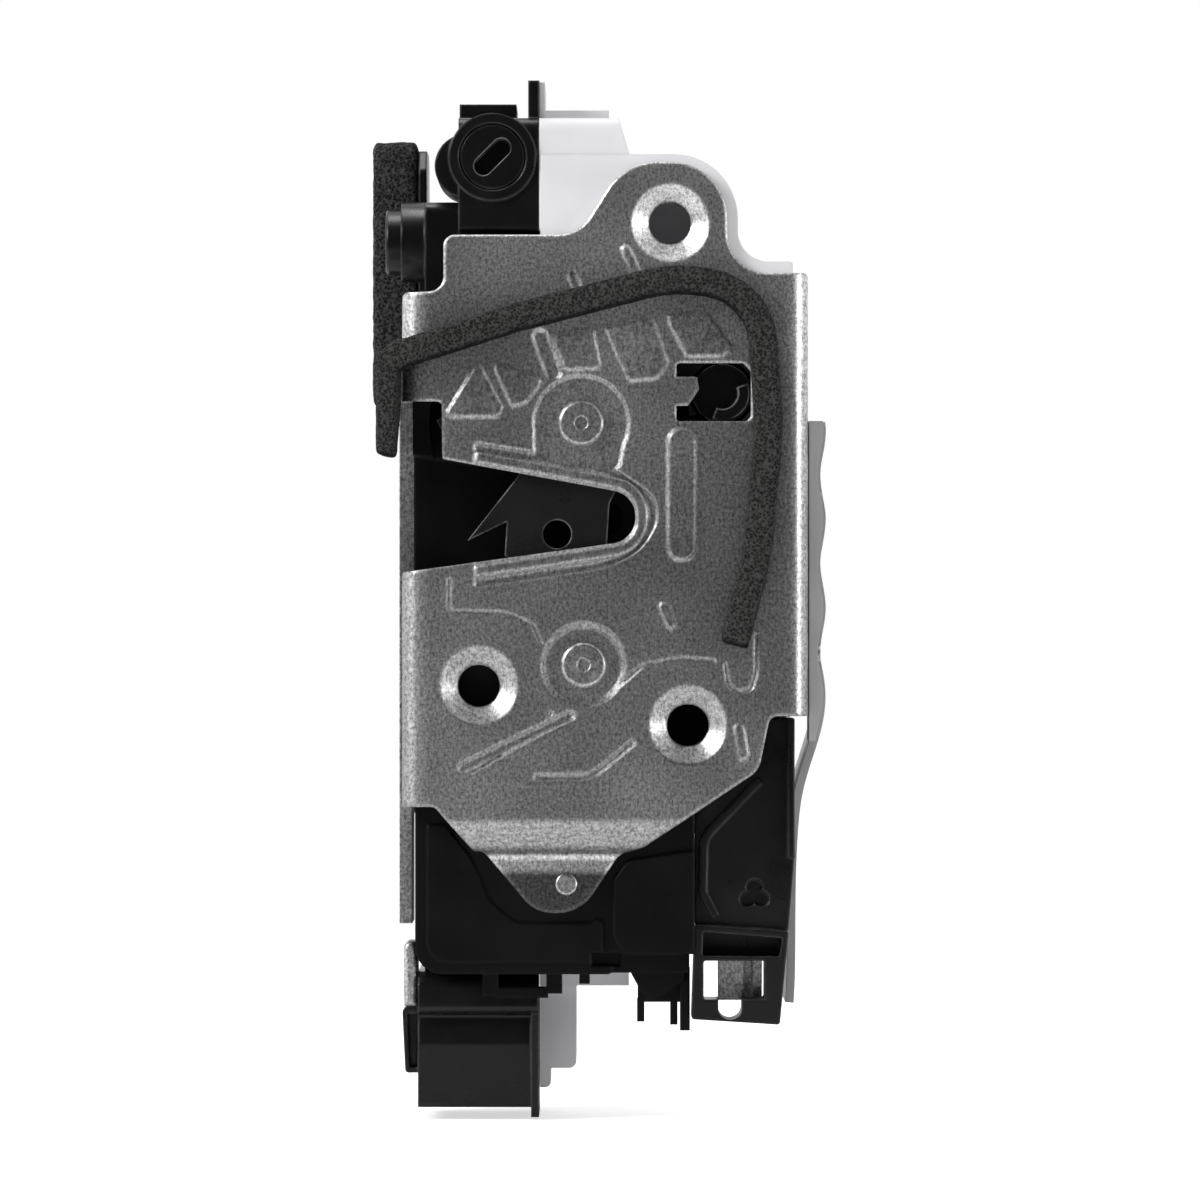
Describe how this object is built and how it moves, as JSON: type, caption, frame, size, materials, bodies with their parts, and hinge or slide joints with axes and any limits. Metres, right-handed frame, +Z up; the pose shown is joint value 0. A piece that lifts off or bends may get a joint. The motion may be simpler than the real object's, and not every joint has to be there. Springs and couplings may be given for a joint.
{
  "type": "door latch actuator",
  "caption": "Car side-door latch with electric lock actuator: pressed steel face plate with a striker slot, claw and pawl behind it, and a two-shell gear case.",
  "frame": {"origin": "where the axis of the upper fixing hole crosses the plane of the face plate's front", "axes": "+X to the right as seen from outside the face plate, +Z up, +Y into the door"},
  "size_m": [0.0746, 0.0824, 0.1689],
  "materials": {
    "steel_zinc": "zinc plated, fine grain",
    "steel_dark": "plain steel",
    "plastic_black": "moulded, fine texture",
    "plastic_gloss": "moulded, glossy",
    "plastic_white": "moulded, white",
    "plastic_grey": "moulded, pale grey",
    "plastic_gear": "moulded, natural",
    "foam_dark": "closed-cell foam",
    "rubber_black": "rubber",
    "brass_tin": "plated contact metal"
  },
  "bodies": {
    "latch_body": {"latch_plate": "steel_zinc", "back_plate": "steel_zinc", "latch_housing": "plastic_black", "claw_rivet": "steel_zinc", "pawl_rivet": "steel_zinc", "tab_rivet": "steel_zinc", "claw_spring": "steel_dark", "pawl_spring": "steel_dark", "striker_stop": "rubber_black", "claw_switch": "plastic_black", "pawl_switch": "plastic_black", "foam_strip": "foam_dark", "actuator_case": "plastic_black", "case_cover": "plastic_white", "case_screws": "steel_zinc", "foam_carrier": "plastic_black", "foam_block": "foam_dark", "connector_collar": "plastic_black", "connector_pins": "brass_tin", "connector_lock_bar": "steel_zinc", "terminal_block": "plastic_black", "motor_leads": "brass_tin", "lock_motor": "steel_zinc", "gear_axles": "steel_dark", "lever_shaft": "steel_dark", "lever_spacer": "steel_dark", "release_spring": "steel_dark", "cable_bracket": "plastic_black", "side_shield": "plastic_grey", "shield_rivets": "steel_zinc"},
    "claw": {"claw_core": "steel_dark", "claw_cover": "plastic_gloss"},
    "pawl": {"pawl_core": "steel_dark", "pawl_cover": "plastic_gloss"},
    "child_lock": {"child_lock_rotor": "plastic_gloss"},
    "emergency_lock": {"emergency_rotor": "plastic_gloss"},
    "key_lock": {"key_coupling": "plastic_black"},
    "lock_arm": {"lock_lever": "plastic_gear"},
    "wheel": {"worm_wheel": "plastic_gear"},
    "motor_spindle": {"motor_shaft": "steel_dark", "worm": "steel_dark"},
    "outer_lever": {"outer_release_lever": "steel_zinc"},
    "inner_lever": {"inner_release_lever": "steel_zinc"}
  },
  "joints": [
    {"name": "claw_turn", "type": "hinge", "parent": "latch_body", "child": "claw", "pos_m": [-0.0144, 0.005, -0.0324], "axis": [0, -1, 0], "range_deg": [0, 72], "stiffness_Nm_per_rad": 0.06, "springref_deg": -28.65, "deforming": ["claw_spring"]},
    {"name": "pawl_turn", "type": "hinge", "parent": "latch_body", "child": "pawl", "pos_m": [-0.014, 0.005, -0.0716], "axis": [0, -1, 0], "range_deg": [0, 14], "stiffness_Nm_per_rad": 0.06, "springref_deg": -28.65, "deforming": ["pawl_spring"]},
    {"name": "child_lock_turn", "type": "hinge", "parent": "latch_body", "child": "child_lock", "pos_m": [0.0085, 0.006, -0.0275], "axis": [0, -1, 0], "range_deg": [0, 60]},
    {"name": "emergency_lock_turn", "type": "hinge", "parent": "latch_body", "child": "emergency_lock", "pos_m": [-0.0288, 0.008, 0.0108], "axis": [0, -1, 0], "range_deg": [0, 90]},
    {"name": "key_coupling_turn", "type": "hinge", "parent": "latch_body", "child": "key_lock", "pos_m": [-0.044, 0.024, -0.0023], "axis": [-1, 0, 0], "range_deg": [-45, 45], "stiffness_Nm_per_rad": 0.01},
    {"name": "outer_lever_turn", "type": "hinge", "parent": "latch_body", "child": "outer_lever", "pos_m": [0.005, 0.031, -0.084], "axis": [-1, 0, 0], "range_deg": [-13.5, 0], "stiffness_Nm_per_rad": 0.06, "springref_deg": 28.65, "deforming": ["release_spring"]},
    {"name": "inner_lever_turn", "type": "hinge", "parent": "latch_body", "child": "inner_lever", "pos_m": [-0.003, 0.031, -0.084], "axis": [-1, 0, 0], "range_deg": [-9.5, 0], "stiffness_Nm_per_rad": 0.06, "springref_deg": 28.65},
    {"name": "lock_lever_turn", "type": "hinge", "parent": "latch_body", "child": "lock_arm", "pos_m": [-0.028, 0.0426, -0.0333], "axis": [1, 0, 0], "range_deg": [0, 40]},
    {"name": "worm_wheel_turn", "type": "hinge", "parent": "latch_body", "child": "wheel", "pos_m": [-0.024, 0.0426, -0.0575], "axis": [1, 0, 0], "range_deg": [-120, 0]},
    {"name": "motor_turn", "type": "hinge", "parent": "latch_body", "child": "motor_spindle", "pos_m": [-0.024, 0.058, -0.0575], "axis": [0, 0, 1], "range_deg": [0, 2880]}
  ],
  "couplings": [
    {"joint": "worm_wheel_turn", "follows": "lock_lever_turn", "ratio": -3},
    {"joint": "motor_turn", "follows": "lock_lever_turn", "ratio": 72}
  ]
}
